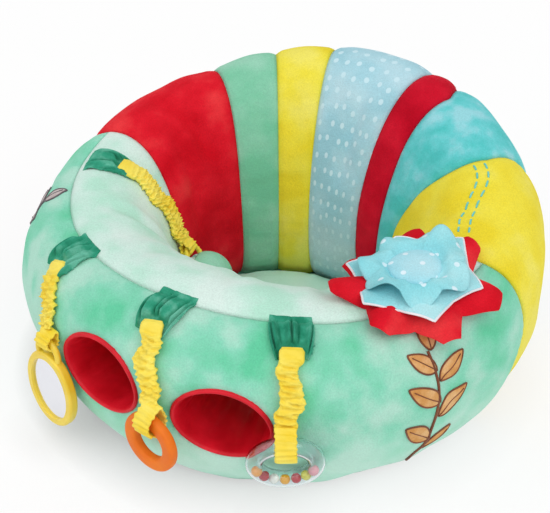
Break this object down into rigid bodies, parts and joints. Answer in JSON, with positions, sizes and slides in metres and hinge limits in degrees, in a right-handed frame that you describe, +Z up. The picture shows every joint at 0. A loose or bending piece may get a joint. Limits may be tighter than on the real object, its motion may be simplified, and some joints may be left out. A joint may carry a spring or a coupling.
{
  "type": "baby activity seat",
  "caption": "Plush-covered inflatable ring seat for a baby, with leg openings in front, toys on gathered straps and a layered cloth flower on its rim.",
  "frame": {"origin": "on the floor, under the middle of the ring", "axes": "+Z up, -Y towards the front, where the leg openings are, +X to the side with the flower"},
  "size_m": [0.5814, 0.5976, 0.2845],
  "materials": {
    "mint_plush": "short pile plush",
    "red_plush": "short pile plush",
    "green_plush": "short pile plush",
    "yellow_plush": "short pile plush",
    "turquoise_plush": "short pile plush",
    "dotted_cloth": "pale blue cotton with white dots",
    "red_lining": "satin lining",
    "base_cloth": "woven nylon",
    "leaf_plush": "velvet",
    "strap_cloth": "gathered satin",
    "blue_cloth": "cotton",
    "petal_cloth": "cotton with small white dots",
    "stuffing": "polyester fill",
    "bladder_vinyl": "soft vinyl film",
    "valve_vinyl": "soft vinyl",
    "zip_plastic": "moulded coil",
    "mirror_frame": "satin",
    "mirror": "polished",
    "mirror_back": "satin",
    "teether": "satin silicone",
    "clear_plastic": "clear polished",
    "beads": "gloss",
    "bell": "polished"
  },
  "bodies": {
    "cover": {"base_panel": "base_cloth", "seat_pad": "mint_plush", "inflatable_ring": "bladder_vinyl", "valve_body": "valve_vinyl", "rim_panel": "mint_plush", "front_panel": "mint_plush", "yellow_panel": "yellow_plush", "turquoise_panel": "turquoise_plush", "red_strip_panel": "red_plush", "dotted_panel": "dotted_cloth", "yellow_back_panel": "yellow_plush", "green_panel": "green_plush", "red_panel": "red_plush", "left_leg_liner": "red_lining", "right_leg_liner": "red_lining", "zip_tapes": "base_cloth", "zip_chain": "zip_plastic", "zip_end_stops": "zip_plastic", "mirror_tab": "leaf_plush", "teether_tab": "leaf_plush", "rattle_tab": "leaf_plush", "ball_tab": "leaf_plush", "flower_red_layer": "red_plush", "flower_blue_layer": "blue_cloth", "flower_petals": "petal_cloth", "flower_centre": "petal_cloth"},
    "mirror_strap": {"mirror_strap": "strap_cloth", "mirror_loop": "strap_cloth"},
    "teether_strap": {"teether_strap": "strap_cloth", "teether_loop": "strap_cloth"},
    "rattle_strap": {"rattle_strap": "strap_cloth", "rattle_loop": "strap_cloth"},
    "ball_strap": {"ball_strap": "strap_cloth", "ball_loop": "strap_cloth"},
    "mirror": {"mirror_frame": "mirror_frame", "mirror_plate": "mirror", "mirror_backing": "mirror_back"},
    "teether": {"teether_ring": "teether"},
    "rattle": {"rattle_ring": "clear_plastic"},
    "beads": {"rattle_beads": "beads"},
    "ball": {"ball_green_half": "green_plush", "ball_dotted_half": "petal_cloth", "ball_stuffing": "stuffing", "ball_bell": "bell", "ball_loop_tape": "strap_cloth"},
    "plug": {"valve_plug": "valve_vinyl"},
    "zip": {"zip_slider": "zip_plastic"}
  },
  "joints": [
    {"name": "mirror_strap_swing", "type": "hinge", "parent": "cover", "child": "mirror_strap", "pos_m": [-0.1455, -0.20779, 0.19247], "axis": [-0.8192, 0.5736, 0], "range_deg": [0, 100]},
    {"name": "mirror_swing", "type": "hinge", "parent": "mirror_strap", "child": "mirror", "pos_m": [-0.12834, -0.26208, 0.13079], "axis": [-0.9724, 0.2334, 0], "range_deg": [0, 80]},
    {"name": "teether_strap_swing", "type": "hinge", "parent": "cover", "child": "teether_strap", "pos_m": [0, -0.24644, 0.19516], "axis": [-1, 0, 0], "range_deg": [0, 100]},
    {"name": "teether_swing", "type": "hinge", "parent": "teether_strap", "child": "teether", "pos_m": [0.02434, -0.29581, 0.11221], "axis": [-0.9863, 0.165, 0], "range_deg": [-3, 80]},
    {"name": "rattle_strap_swing", "type": "hinge", "parent": "cover", "child": "rattle_strap", "pos_m": [0.13776, -0.21213, 0.19268], "axis": [-0.8387, -0.5446, 0], "range_deg": [0, 100]},
    {"name": "rattle_swing", "type": "hinge", "parent": "rattle_strap", "child": "rattle", "pos_m": [0.15621, -0.25536, 0.10873], "axis": [-0.8462, -0.5329, 0], "range_deg": [0, 90]},
    {"name": "ball_strap_swing", "type": "hinge", "parent": "cover", "child": "ball_strap", "pos_m": [-0.18874, -0.04012, 0.21337], "axis": [0.2079, -0.9781, 0], "range_deg": [0, 100]},
    {"name": "ball_swing", "type": "hinge", "parent": "ball_strap", "child": "ball", "pos_m": [-0.11213, -0.02383, 0.1168], "axis": [0.2079, -0.9781, 0], "range_deg": [0, 70]},
    {"name": "rattle_beads_roll", "type": "hinge", "parent": "rattle", "child": "beads", "pos_m": [0.15138, -0.24769, 0.07909], "axis": [0.5096, -0.8092, -0.2924], "continuous": true},
    {"name": "valve_plug_pull", "type": "slide", "parent": "cover", "child": "plug", "axis": [0, 1, 0], "range_m": [0, 0.02]},
    {"name": "zip_slide", "type": "slide", "parent": "cover", "child": "zip", "axis": [1, 0, 0], "range_m": [0, 0.1086]}
  ]
}
